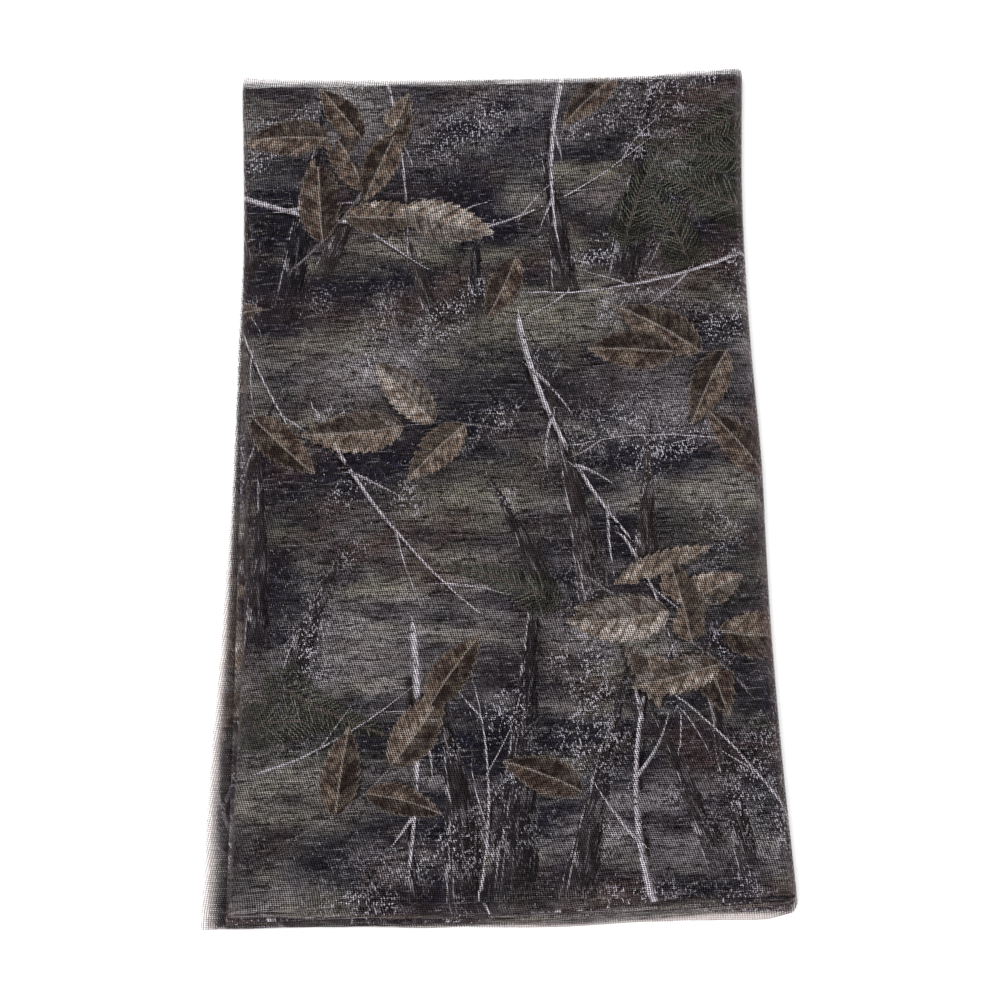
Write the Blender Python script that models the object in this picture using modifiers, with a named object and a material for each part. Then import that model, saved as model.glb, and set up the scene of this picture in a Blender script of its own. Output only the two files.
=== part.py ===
"""A length of camouflage netting, folded flat into a pack of eight layers of two plies each.

The cloth is folded in half across its width, and then in half three times along its length. Each
two-ply layer is one thickness here, so the pack is a single open surface, folded back and forth, with
Solidify on it.

Metres, +Z up. The pack lies on its underside. +X points at the last fold, +Y away from the first fold
and towards the selvages. The origin is the middle of the pack in plan, at its underside.
"""

import math
from collections import namedtuple

import bmesh
import bpy

MM = 0.001

# The cut length of netting
CLOTH_LENGTH = 3660.0 * MM
CLOTH_WIDTH = 1490.0 * MM
PANELS = 8
PANEL_WIDTH = CLOTH_LENGTH / PANELS

# The pack. LAYER_SLIP is how far the layers slip past an even fold at the near end and the far end.
# The stack stands STACK_SHIFT to the right of the middle, and the cut ends reach out at its left. At the
# left the fold between panels 4 and 5 is MIDDLE_FOLD_LEVELS, and the outermost fold above it, between
# panels 6 and 7, is OUTER_FOLD_LEVELS. FOLD_FULLNESS is how much further than round a wide fold bulges.
LAYER_THICKNESS = 1.0 * MM
LAYER_PITCH = 1.5 * MM
TOP_LEVEL = PANELS - 1
LAYER_SLIP = 10.0 * MM
HALF_LENGTH = 0.25 * CLOTH_WIDTH + LAYER_SLIP
STACK_SHIFT = 9.5 * MM
FOLD_FULLNESS = 0.35
MIDDLE_FOLD_LEVELS = (2, 3)
OUTER_FOLD_LEVELS = (4, 7)

# How finely the surface is divided: steps across a panel and round a fold, and the places of the
# sections along the pack, which are close together at its near end
PANEL_STEPS = 9
TIGHT_FOLD_STEPS = 6
WIDE_FOLD_STEPS = 8
WIDE_FOLD_LEVELS = 4
SECTION_PLACES = (
    0.0, 0.012, 0.028, 0.05, 0.085, 0.14, 0.21, 0.28, 0.36, 0.44, 0.52, 0.6, 0.68, 0.76, 0.84, 0.92, 1.0
)

# Each layer in the order in which the cloth runs from one cut end to the other. level counts up from
# the ground. near is how far short of the pack's near end the layer's fold stops, in millimetres, at
# five even places from its left end to its right end. far is the same for its selvages at three.
Layer = namedtuple("Layer", "panel level near far")
LAYERS = (
    Layer(1, 1, (6.5, 5.0, 2.0, 4.5, 10.5), (5.0, 6.0, 8.5)),
    Layer(2, 6, (16.5, 23.0, 22.0, 32.0, 31.0), (6.0, 7.5, 10.0)),
    Layer(3, 5, (15.5, 13.0, 12.5, 18.0, 21.0), (7.5, 9.0, 11.0)),
    Layer(4, 2, (9.5, 6.5, 4.0, 7.0, 13.0), (6.0, 8.0, 10.0)),
    Layer(5, 3, (10.5, 10.5, 9.5, 12.0, 16.0), (8.0, 9.0, 12.0)),
    Layer(6, 4, (14.0, 11.5, 11.0, 15.0, 17.0), (7.0, 8.5, 11.0)),
    Layer(7, 7, (16.5, 21.0, 20.5, 23.5, 23.0), (5.5, 6.5, 9.0)),
    Layer(8, 0, (6.5, 4.2, 0.8, 0.6, 4.0), (0.2, 4.0, 4.5)),
)

# Where the pack's long edges run, at even places from its near end to its far end, in millimetres
# outwards from an even panel: the last fold at the right, and at the left the folds of the layers
# above, the fold between panels 4 and 5, and the two cut ends.
Station = namedtuple("Station", "right_fold upper_folds middle_fold upper_cut lower_cut")
STATIONS = (
    Station(1.8, 1.8, 4.8, 12.5, 23.0),
    Station(-2.8, -3.4, 1.8, 11.0, 18.2),
    Station(-4.4, -8.2, -0.8, 6.2, 10.8),
    Station(-2.8, -8.2, -3.2, 2.8, 3.8),
    Station(-5.4, -5.8, -4.2, -1.2, -2.2),
    Station(-3.8, -2.8, -4.2, -2.6, -4.8),
    Station(4.0, 0.2, -2.2, 2.0, -4.8),
)

# The soft swells and troughs of the lying cloth, in millimetres: the middle, the direction of the long
# axis in degrees, half the length, half the width, and the height that it adds to the top layer.
Swell = namedtuple("Swell", "x y direction half_length half_width height")
SWELLS = (
    Swell(-40.0, -60.0, 78.0, 330.0, 150.0, 1.9),
    Swell(150.0, 160.0, 100.0, 190.0, 75.0, 0.9),
    Swell(-120.0, 230.0, 15.0, 130.0, 80.0, 0.8),
    Swell(60.0, -235.0, 8.0, 170.0, 75.0, 0.7),
    Swell(140.0, -368.0, 176.0, 120.0, 14.0, -0.7),
)

COLLECTION_NAME = "camouflage_net"
SHEET_NAME = "net_sheet"


def clear_scene():
    for scene_object in list(bpy.data.objects):
        bpy.data.objects.remove(scene_object, do_unlink=True)


def between(start, end, share):
    return start + (end - start) * share


def through(values, share):
    """The smooth curve through evenly spaced values. share runs from 0 at the first to 1 at the last."""
    place_in_row = share * (len(values) - 1)
    index = min(int(place_in_row), len(values) - 2)
    part = place_in_row - index
    start, end = values[index], values[index + 1]
    before = values[index - 1] if index > 0 else 2.0 * start - end
    after = values[index + 2] if index + 2 < len(values) else 2.0 * end - start
    slope_in, slope_out = 0.5 * (end - before), 0.5 * (after - start)
    square, cube = part**2, part**3
    return (
        (2.0 * cube - 3.0 * square + 1.0) * start
        + (cube - 2.0 * square + part) * slope_in
        + (3.0 * square - 2.0 * cube) * end
        + (cube - square) * slope_out
    )


def long_edge(name, along):
    """X of one of the pack's long edges. along is 0 at the near end and 1 at the far end."""
    outwards = 0.5 * PANEL_WIDTH + MM * through([getattr(row, name) for row in STATIONS], along)
    return STACK_SHIFT + outwards if name == "right_fold" else STACK_SHIFT - outwards


def level_height(level):
    return 0.5 * LAYER_THICKNESS + level * LAYER_PITCH


def swelling(x, y):
    """How far the top layer rises here above a flat pack."""
    rise = 0.0
    for swell in SWELLS:
        turn = math.radians(swell.direction)
        off_x, off_y = x - swell.x * MM, y - swell.y * MM
        lengthways = off_x * math.cos(turn) + off_y * math.sin(turn)
        sideways = off_y * math.cos(turn) - off_x * math.sin(turn)
        spread = (lengthways / (swell.half_length * MM)) ** 2 + (sideways / (swell.half_width * MM)) ** 2
        rise += swell.height * MM * math.exp(-spread)
    return rise


def place(x, y, height):
    """A point of the cloth. The higher a layer lies, the more of the swelling it takes up."""
    lift = (height - level_height(0)) / (level_height(TOP_LEVEL) - level_height(0))
    return (x, y, height + lift * swelling(x, y))


def layer_y(layer, across, along):
    """Y on a layer. across is 0 at its left end and 1 at its right end."""
    near = -HALF_LENGTH + MM * through(layer.near, across)
    far = HALF_LENGTH - MM * through(layer.far, across)
    return between(near, far, along)


def fold_reach(low, high):
    """How far a fold between two levels stands out from where its layers end."""
    radius = 0.5 * LAYER_PITCH * abs(high - low)
    tightest = 0.5 * LAYER_PITCH
    return radius + FOLD_FULLNESS * (radius - tightest)


def right_end(along):
    """Where every layer ends and its fold at the right begins."""
    return long_edge("right_fold", along) - fold_reach(0, TOP_LEVEL) - 0.5 * LAYER_THICKNESS


def left_end(layer, along):
    """Where a layer ends at the left, in a fold or at a cut."""
    if layer.panel == 1:
        return long_edge("upper_cut", along)
    if layer.panel == PANELS:
        return long_edge("lower_cut", along)
    inset = 0.5 * LAYER_THICKNESS
    if layer.level in MIDDLE_FOLD_LEVELS:
        return long_edge("middle_fold", along) + fold_reach(*MIDDLE_FOLD_LEVELS) + inset
    return long_edge("upper_folds", along) + fold_reach(*OUTER_FOLD_LEVELS) + inset


def layer_points(layer, to_right, along):
    points = []
    for step in range(PANEL_STEPS + 1):
        across = step / PANEL_STEPS if to_right else 1.0 - step / PANEL_STEPS
        x = between(left_end(layer, along), right_end(along), across)
        points.append(place(x, layer_y(layer, across, along), level_height(layer.level)))
    return points


def fold_points(layer, following, at_right, along):
    """The turn from one layer to the next, without its two ends."""
    across = 1.0 if at_right else 0.0
    side = 1.0 if at_right else -1.0
    start, end = level_height(layer.level), level_height(following.level)
    start_x = right_end(along) if at_right else left_end(layer, along)
    start_y, end_y = layer_y(layer, across, along), layer_y(following, across, along)
    wide = abs(following.level - layer.level) >= WIDE_FOLD_LEVELS
    steps = WIDE_FOLD_STEPS if wide else TIGHT_FOLD_STEPS
    points = []
    for step in range(1, steps):
        angle = math.pi * step / steps
        x = start_x + side * fold_reach(layer.level, following.level) * math.sin(angle)
        turned = 0.5 * (1.0 - math.cos(angle))
        points.append(place(x, between(start_y, end_y, turned), between(start, end, turned)))
    return points


def section(along):
    """The cloth's section across the pack, from one cut end to the other."""
    points = []
    for index, layer in enumerate(LAYERS):
        to_right = index % 2 == 0
        points += layer_points(layer, to_right, along)
        if index + 1 < len(LAYERS):
            points += fold_points(layer, LAYERS[index + 1], to_right, along)
    return points


def net_material():
    material = bpy.data.materials.new("printed_net")
    material.use_nodes = True
    shader = material.node_tree.nodes["Principled BSDF"]
    shader.inputs["Base Color"].default_value = (0.047, 0.043, 0.038, 1.0)
    shader.inputs["Roughness"].default_value = 0.9
    shader.inputs["Metallic"].default_value = 0.0
    return material


def make_sheet(collection):
    """The folded sheet, lofted through its sections and then given its thickness."""
    mesh = bpy.data.meshes.new(SHEET_NAME)
    shaped = bmesh.new()
    rows = [[shaped.verts.new(point) for point in section(along)] for along in SECTION_PLACES]
    for near_row, far_row in zip(rows, rows[1:]):
        for index in range(len(near_row) - 1):
            shaped.faces.new(
                (near_row[index], near_row[index + 1], far_row[index + 1], far_row[index])
            )
    bmesh.ops.recalc_face_normals(shaped, faces=shaped.faces)
    shaped.to_mesh(mesh)
    shaped.free()
    mesh.shade_smooth()
    mesh.materials.append(net_material())
    sheet = bpy.data.objects.new(SHEET_NAME, mesh)
    collection.objects.link(sheet)
    thickness = sheet.modifiers.new("two plies", "SOLIDIFY")
    thickness.thickness = LAYER_THICKNESS
    thickness.offset = 0.0
    thickness.use_even_offset = True
    return sheet


def make_camouflage_net():
    clear_scene()
    collection = bpy.data.collections.new(COLLECTION_NAME)
    bpy.context.scene.collection.children.link(collection)
    make_sheet(collection)


make_camouflage_net()
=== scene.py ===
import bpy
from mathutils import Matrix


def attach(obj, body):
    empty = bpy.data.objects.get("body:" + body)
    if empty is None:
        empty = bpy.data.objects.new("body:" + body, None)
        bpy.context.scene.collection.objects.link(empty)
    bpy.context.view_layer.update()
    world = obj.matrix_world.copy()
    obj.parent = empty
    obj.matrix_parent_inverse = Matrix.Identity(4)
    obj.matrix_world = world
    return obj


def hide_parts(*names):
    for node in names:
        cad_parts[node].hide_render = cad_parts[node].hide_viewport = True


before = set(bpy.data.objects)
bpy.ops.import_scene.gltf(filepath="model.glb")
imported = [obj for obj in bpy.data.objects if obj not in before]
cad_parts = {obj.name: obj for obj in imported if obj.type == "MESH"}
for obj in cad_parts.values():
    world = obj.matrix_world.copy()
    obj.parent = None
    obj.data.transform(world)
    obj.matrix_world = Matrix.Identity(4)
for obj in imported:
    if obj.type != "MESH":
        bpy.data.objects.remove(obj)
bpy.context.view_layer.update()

import math
from collections import namedtuple

import bpy
import numpy as np

MM = 0.001

# ---------------------------------------------------------------------------------------------------
# The camera stands over the near edge of the folded net and looks down at it, 15 degrees off plumb,
# as a copy stand's does. The lens is a little longer than normal.

LOOK_AT = (7.5 * MM, -22.5 * MM, 0.0)
CAMERA_AZIMUTH = math.radians(-1.5)
CAMERA_ELEVATION = math.radians(75.0)
CAMERA_DISTANCE = 1465.0 * MM
LENS_MM = 60.9

camera = bpy.data.objects.new("camera", bpy.data.cameras.new("camera"))
camera.data.lens = LENS_MM
camera.data.sensor_width = 36.0
camera.location = (
    LOOK_AT[0] + CAMERA_DISTANCE * math.cos(CAMERA_ELEVATION) * math.sin(CAMERA_AZIMUTH),
    LOOK_AT[1] - CAMERA_DISTANCE * math.cos(CAMERA_ELEVATION) * math.cos(CAMERA_AZIMUTH),
    LOOK_AT[2] + CAMERA_DISTANCE * math.sin(CAMERA_ELEVATION),
)
camera.rotation_euler = (math.radians(90.0) - CAMERA_ELEVATION, 0.0, CAMERA_AZIMUTH)
bpy.context.scene.collection.objects.link(camera)
bpy.context.scene.camera = camera

# ---------------------------------------------------------------------------------------------------
# The pale table top and the light. A white sky lights the net evenly from all round, and one wide
# soft lamp, high at the far left, gives the folds a little shade.

FLOOR_SIZE = 16.0
FLOOR_COLOUR = (0.93, 0.93, 0.93, 1.0)
SKY_STRENGTH = 1.25
LAMP_PLACE = (-1.3, 1.5, 2.6)
LAMP_SIZE = 1.6
LAMP_POWER = 27.0

bpy.ops.mesh.primitive_plane_add(size=FLOOR_SIZE, location=(0.0, 0.0, 0.0))
floor = bpy.context.active_object
floor.name = "floor"
paint = bpy.data.materials.new("pale_floor")
paint.use_nodes = True
paint.node_tree.nodes["Principled BSDF"].inputs["Base Color"].default_value = FLOOR_COLOUR
paint.node_tree.nodes["Principled BSDF"].inputs["Roughness"].default_value = 1.0
paint.node_tree.nodes["Principled BSDF"].inputs["Specular IOR Level"].default_value = 0.0
floor.data.materials.append(paint)

sky = bpy.data.worlds.new("white_room")
sky.use_nodes = True
sky.node_tree.nodes["Background"].inputs["Color"].default_value = (1.0, 1.0, 1.0, 1.0)
sky.node_tree.nodes["Background"].inputs["Strength"].default_value = SKY_STRENGTH
bpy.context.scene.world = sky
bpy.context.scene.view_settings.view_transform = "Standard"

lamp = bpy.data.objects.new("soft_lamp", bpy.data.lights.new("soft_lamp", "AREA"))
lamp.data.shape = "DISK"
lamp.data.size = LAMP_SIZE
lamp.data.energy = LAMP_POWER
lamp.location = LAMP_PLACE
lamp.rotation_euler = (
    math.atan2(math.hypot(LAMP_PLACE[0], LAMP_PLACE[1]), LAMP_PLACE[2]),
    0.0,
    math.atan2(LAMP_PLACE[0], -LAMP_PLACE[1]),
)
bpy.context.scene.collection.objects.link(lamp)

# ---------------------------------------------------------------------------------------------------
# The net: one cut length of square-knit polyester mesh, printed all over. It is folded in half across
# its width, with the fold near the camera, and then in half three times along its length. The last fold
# is at the right, and the two cut ends lie lowest at the left.

CLOTH_LENGTH = 3660.0
PANEL_WIDTH = CLOTH_LENGTH / 8
LAYER_THICKNESS = 1.0
LAYER_PITCH = 1.5
TOP_LEVEL = 7
PLY_GAP = 0.7
HALF_LENGTH = 382.5
STACK_SHIFT = 9.5
FOLD_FULLNESS = 0.35
MIDDLE_FOLD_LEVELS = (2, 3)
OUTER_FOLD_LEVELS = (4, 7)

# Each two-ply layer in the order in which the cloth runs from one cut end to the other, in
# millimetres. near is how far short of the pack's near end its fold stops, at even places from its
# left end to its right. far is the same for the first ply's selvage, and lap is how far the second
# ply's selvage reaches past the first's. corner is how much the near corner at the last fold is
# rounded off.
Layer = namedtuple("Layer", "panel level near far lap corner")
LAYERS = (
    Layer(
        1, 1, (6.5, 6.2, 5.6, 4.4, 3.2, 2.8, 5.2, 8.2, 6.5),
        (7.0, 7.9, 8.5, 8.9, 6.2), (1.5, 0.5, 1.0), 1.0,
    ),
    Layer(2, 6, (16.5, 23.0, 22.0, 32.0, 31.0), (8.5, 9.7, 10.5, 10.0, 5.4), (0.5, 0.5, 1.0), 0.0),
    Layer(3, 5, (15.5, 13.0, 12.5, 18.0, 21.0), (9.0, 10.1, 11.0, 10.4, 6.0), (1.0, 1.0, 1.0), 0.0),
    Layer(4, 2, (9.5, 6.8, 5.4, 8.4, 13.0), (7.0, 8.1, 9.0, 9.0, 6.2), (0.5, 1.5, 0.5), 2.0),
    Layer(5, 3, (10.5, 10.5, 9.5, 12.0, 16.0), (8.5, 9.2, 10.0, 10.0, 6.2), (2.0, 1.0, 1.0), 0.0),
    Layer(6, 4, (14.0, 11.5, 11.0, 15.0, 17.0), (8.5, 9.6, 10.5, 10.2, 5.8), (1.0, 1.0, 1.0), 0.0),
    Layer(
        7, 7, (16.5, 21.0, 20.5, 23.5, 23.0),
        (3.6, 5.2, 6.3, 7.4, 8.1, 7.9, 7.4, 7.7, 7.9, 7.7, 7.4, 5.6, 2.0),
        (4.8, 4.2, 3.6, 3.3, 3.1, 2.2, 1.2, 1.1, 1.0, 1.2, 1.5, 3.0, 1.2), 0.0,
    ),
    Layer(
        8, 0, (6.5, 5.3, 4.9, 3.4, 1.5, 0.6, 2.6, 3.2, 1.4),
        (6.2, 6.1, 6.6, 7.9, 5.6), (1.5, 0.5, 1.0), 4.5,
    ),
)
UPPER_CUT_PANEL = 1
TOP_PANEL = 7
LOWEST_PANEL = 8
CORNER_LENGTH = 24.0

# Where the pack's long edges run, at even places from its near end to its far end, in millimetres
# outwards from an even panel. cut_step is how far the cut of one ply stops short of the other's in the
# lowest layer.
Station = namedtuple("Station", "right_fold upper_folds middle_fold upper_cut lower_cut cut_step")
STATIONS = (
    Station(1.8, 2.2, 4.8, 15.0, 26.6, 6.0),
    Station(-2.8, -3.0, 1.8, 13.2, 20.8, 3.6),
    Station(-4.4, -7.6, -0.4, 8.0, 12.6, 3.4),
    Station(-2.8, -7.2, -2.0, 4.4, 5.6, 3.0),
    Station(-5.4, -3.6, -1.6, 1.6, 0.6, 2.5),
    Station(-3.8, -2.8, -4.2, -2.6, -4.8, 2.0),
    Station(4.0, 0.2, -2.2, 2.0, -4.8, 2.0),
)

# The soft swells, troughs and creases of the lying cloth, in millimetres and degrees.
Swell = namedtuple("Swell", "x y direction half_length half_width height")
SWELLS = (
    Swell(-40.0, -60.0, 78.0, 330.0, 150.0, 1.9),
    Swell(150.0, 160.0, 100.0, 190.0, 75.0, 0.9),
    Swell(-120.0, 230.0, 15.0, 130.0, 80.0, 0.8),
    Swell(60.0, -235.0, 8.0, 170.0, 75.0, 0.7),
    Swell(140.0, -368.0, 176.0, 120.0, 14.0, -0.7),
    Swell(196.0, 2.0, 168.0, 70.0, 16.0, 1.1),
    Swell(-90.0, -180.0, 62.0, 150.0, 22.0, 0.6),
    Swell(170.0, -349.0, 1.0, 90.0, 3.5, -0.6),
    Swell(60.0, 60.0, 108.0, 200.0, 26.0, -0.5),
    Swell(-150.0, 40.0, 84.0, 150.0, 20.0, 0.5),
)

# How finely the cloth is ruled. The top panel's first ply is ruled finest, because its print shows.
TOP_CELL = 4.0
HIDDEN_CELL = 16.0
TIGHT_FOLD_STEPS = 6
WIDE_FOLD_STEPS = 10
NEAR_TURN_STEPS = 4
EDGE_ROWS = (0.0, 0.8, 2.0, 4.0, 7.0, 11.0)
FIRST_PLY_ROWS = 184
SECOND_PLY_ROWS = 44

# How much the near folds and the selvages waver, and over what lengths. UPPER_CUT_STEP_SHARE is the
# part of the lower cut's step that the upper cut has, and LEAST_INSET is how far inside the pack's
# near end every fold stays. Millimetres, all but the share.
FOLD_WAVER = 0.5
FIRST_SELVAGE_WAVER = 0.4
SECOND_SELVAGE_WAVER = 0.4
WAVER_LENGTHS = (210.0, 120.0, 64.0, 35.0, 19.0)
UPPER_CUT_STEP_SHARE = 0.6
LEAST_INSET = 0.4


def between(start, end, share):
    return start + (end - start) * share


def through(values, share):
    """The smooth curve through evenly spaced values, at shares of the way from the first to the last."""
    values = np.asarray(values, float)
    padded = np.concatenate(([2.0 * values[0] - values[1]], values, [2.0 * values[-1] - values[-2]]))
    place_in_row = np.clip(share, 0.0, 1.0) * (len(values) - 1)
    index = np.minimum(np.floor(place_in_row).astype(int), len(values) - 2)
    part = place_in_row - index
    before, start, end, after = (padded[index + step] for step in range(4))
    square, cube = part**2, part**3
    return (
        (2.0 * cube - 3.0 * square + 1.0) * start
        + (cube - 2.0 * square + part) * 0.5 * (end - before)
        + (3.0 * square - 2.0 * cube) * end
        + (cube - square) * 0.5 * (after - start)
    )


def long_edge(name, along):
    """X of one of the pack's long edges. along is 0 at the near end and 1 at the far end."""
    outwards = 0.5 * PANEL_WIDTH + through([getattr(row, name) for row in STATIONS], along)
    return STACK_SHIFT + outwards if name == "right_fold" else STACK_SHIFT - outwards


def level_height(level):
    return 0.5 * LAYER_THICKNESS + level * LAYER_PITCH


def swelling(x, y):
    """How far the top layer rises here above a flat pack."""
    rise = np.zeros_like(x)
    for swell in SWELLS:
        turn = math.radians(swell.direction)
        lengthways = (x - swell.x) * math.cos(turn) + (y - swell.y) * math.sin(turn)
        sideways = (y - swell.y) * math.cos(turn) - (x - swell.x) * math.sin(turn)
        spread = (lengthways / swell.half_length) ** 2 + (sideways / swell.half_width) ** 2
        rise += swell.height * np.exp(-spread)
    return rise


def fold_reach(low, high):
    """How far a fold between two levels stands out from where its layers end."""
    radius = 0.5 * LAYER_PITCH * abs(high - low)
    tightest = 0.5 * LAYER_PITCH
    return radius + FOLD_FULLNESS * (radius - tightest)


def right_end(along):
    return long_edge("right_fold", along) - fold_reach(0, TOP_LEVEL) - 0.5 * LAYER_THICKNESS


def left_end(layer, along):
    """Where a layer ends at the left, in a fold or at a cut."""
    if layer.panel == UPPER_CUT_PANEL:
        return long_edge("upper_cut", along)
    if layer.panel == LOWEST_PANEL:
        return long_edge("lower_cut", along)
    inset = 0.5 * LAYER_THICKNESS
    if layer.level in MIDDLE_FOLD_LEVELS:
        return long_edge("middle_fold", along) + fold_reach(*MIDDLE_FOLD_LEVELS) + inset
    return long_edge("upper_folds", along) + fold_reach(*OUTER_FOLD_LEVELS) + inset


def rounded_corner(layer, across):
    """How far the near edge draws back towards the layer's last fold."""
    from_fold = (1.0 - across) * PANEL_WIDTH
    return layer.corner * max(1.0 - from_fold / CORNER_LENGTH, 0.0) ** 2


def waver(distance, size, seed):
    """The slight unevenness of a cut or folded edge, in millimetres."""
    chance = np.random.default_rng(seed)
    total = np.zeros_like(distance)
    for length in WAVER_LENGTHS:
        total += length**0.5 * np.sin(distance * 2.0 * math.pi / length + chance.uniform(0.0, 7.0))
    return size * total / 20.0


def ruled_rows(count):
    """Shares of the way from the near end to the far end, closest together at both ends."""
    ends = np.array(EDGE_ROWS) / (2.0 * HALF_LENGTH)
    inner = np.linspace(1.4 * ends[-1], 1.0 - 1.4 * ends[-1], count)
    return np.concatenate((ends, inner, 1.0 - ends[::-1]))


# The rows run from the first ply's selvage to the near fold, round it and along the second ply to its
# selvage. The columns run across the pack through all of its layers and folds.
rows_first = ruled_rows(FIRST_PLY_ROWS)[::-1]
rows_second = ruled_rows(SECOND_PLY_ROWS)
turn_angles = np.linspace(0.0, math.pi, NEAR_TURN_STEPS + 1)[1:-1]
along = np.concatenate((rows_first, np.zeros(len(turn_angles)), rows_second))
near_turn = np.concatenate((np.zeros(len(rows_first)), turn_angles, np.full(len(rows_second), math.pi)))
is_second = near_turn > 0.5 * math.pi

Column = namedtuple("Column", "x height near far lap panel")
columns = []
for order, layer in enumerate(LAYERS):
    to_right = order % 2 == 0
    left = left_end(layer, along)
    if layer.panel in (UPPER_CUT_PANEL, LOWEST_PANEL):
        share = 1.0 if layer.panel == LOWEST_PANEL else UPPER_CUT_STEP_SHARE
        left = left + is_second * share * through([row.cut_step for row in STATIONS], along)
    steps = round(PANEL_WIDTH / (TOP_CELL if layer.panel == TOP_PANEL else HIDDEN_CELL))
    for step in range(steps + 1):
        across = step / steps if to_right else 1.0 - step / steps
        columns.append(
            Column(
                between(left, right_end(along), across),
                level_height(layer.level),
                through(layer.near, across) + rounded_corner(layer, across),
                through(layer.far, across),
                through(layer.lap, across),
                layer.panel,
            )
        )
    if order + 1 == len(LAYERS):
        break
    following = LAYERS[order + 1]
    across = 1.0 if to_right else 0.0
    side = 1.0 if to_right else -1.0
    start_x = right_end(along) if to_right else left_end(layer, along)
    reach = fold_reach(layer.level, following.level)
    steps = WIDE_FOLD_STEPS if abs(following.level - layer.level) > 3 else TIGHT_FOLD_STEPS
    start_near = through(layer.near, across) + rounded_corner(layer, across)
    end_near = through(following.near, across) + rounded_corner(following, across)
    for step in range(1, steps):
        angle = math.pi * step / steps
        turned = 0.5 * (1.0 - math.cos(angle))
        columns.append(
            Column(
                start_x + side * reach * math.sin(angle),
                between(level_height(layer.level), level_height(following.level), turned),
                between(start_near, end_near, turned),
                between(through(layer.far, across), through(following.far, across), turned),
                between(through(layer.lap, across), through(following.lap, across), turned),
                0,
            )
        )

x = np.stack([column.x for column in columns], 1)
height = np.array([column.height for column in columns]) + 0.0 * x
near = np.array([column.near for column in columns])
far = np.array([column.far for column in columns])
lap = np.array([column.lap for column in columns])
run = np.cumsum(np.hypot(np.gradient(x[0]), np.gradient(height[0])))
near_y = -HALF_LENGTH + np.maximum(near + waver(run, FOLD_WAVER, 3), LEAST_INSET) + 0.0 * x
selvage_waver = np.where(
    is_second[:, None], waver(run, SECOND_SELVAGE_WAVER, 5), waver(run, FIRST_SELVAGE_WAVER, 6)
)
far_y = HALF_LENGTH - far + is_second[:, None] * lap - np.abs(selvage_waver)
y = between(near_y, far_y, along[:, None])
lift = (height - level_height(0)) / (level_height(TOP_LEVEL) - level_height(0))
z = height + lift * swelling(x, y)

slope_x, slope_z = np.gradient(x, axis=1), np.gradient(z, axis=1)
steepness = np.hypot(slope_x, slope_z)
step_x, step_z = np.diff(x, axis=1, prepend=x[:, :1]), np.diff(z, axis=1, prepend=z[:, :1])
lengthwise = np.cumsum(np.hypot(step_x, step_z), axis=1)
apart = 0.5 * PLY_GAP * np.cos(near_turn)[:, None]
x = x - apart * slope_z / steepness
z = z + apart * slope_x / steepness
y = y - 0.5 * PLY_GAP * np.sin(near_turn)[:, None]

# The flat place of each point on the cloth, in millimetres: along its length from the top panel's
# left fold, and across its width from the near fold. The plies slip a little past each other.
PLY_SLIP = 0.004
on_top = [index for index, column in enumerate(columns) if column.panel == TOP_PANEL]
middle = on_top[len(on_top) // 2]
cloth_x = lengthwise - lengthwise[:, middle : middle + 1] + 0.5 * PANEL_WIDTH
cloth_x = cloth_x + is_second[:, None] * PLY_SLIP * (y - near_y)
cloth_y = np.where(is_second[:, None], -1.0 - PLY_SLIP, 1.0) * (y - near_y)
to_selvage = far_y - y
to_cut = np.minimum(lengthwise, lengthwise[:, -1:] - lengthwise)

row_count, column_count = x.shape
corner = np.arange(row_count * column_count).reshape(row_count, column_count)
faces = np.stack((corner[:-1, :-1], corner[1:, :-1], corner[1:, 1:], corner[:-1, 1:]), -1).reshape(-1, 4)
points = np.stack((x, y, z), -1).reshape(-1, 3) * MM

mesh = bpy.data.meshes.new("net")
mesh.from_pydata(points.tolist(), [], faces.tolist())
mesh.shade_smooth()
net = bpy.data.objects.new("net", mesh)
bpy.context.scene.collection.objects.link(net)

# The print. It is a made-up picture of a woodland edge in winter, dyed into the cloth: dim haze, dark
# rushes, pine sprays, pale grass stems and dry beech leaves. It repeats over the cloth, and each part
# of it is placed in millimetres from the near left corner of the top panel, with 90 degrees pointing
# away from the near edge.

REPEAT_X = 610.0
REPEAT_Y = 762.0

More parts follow.
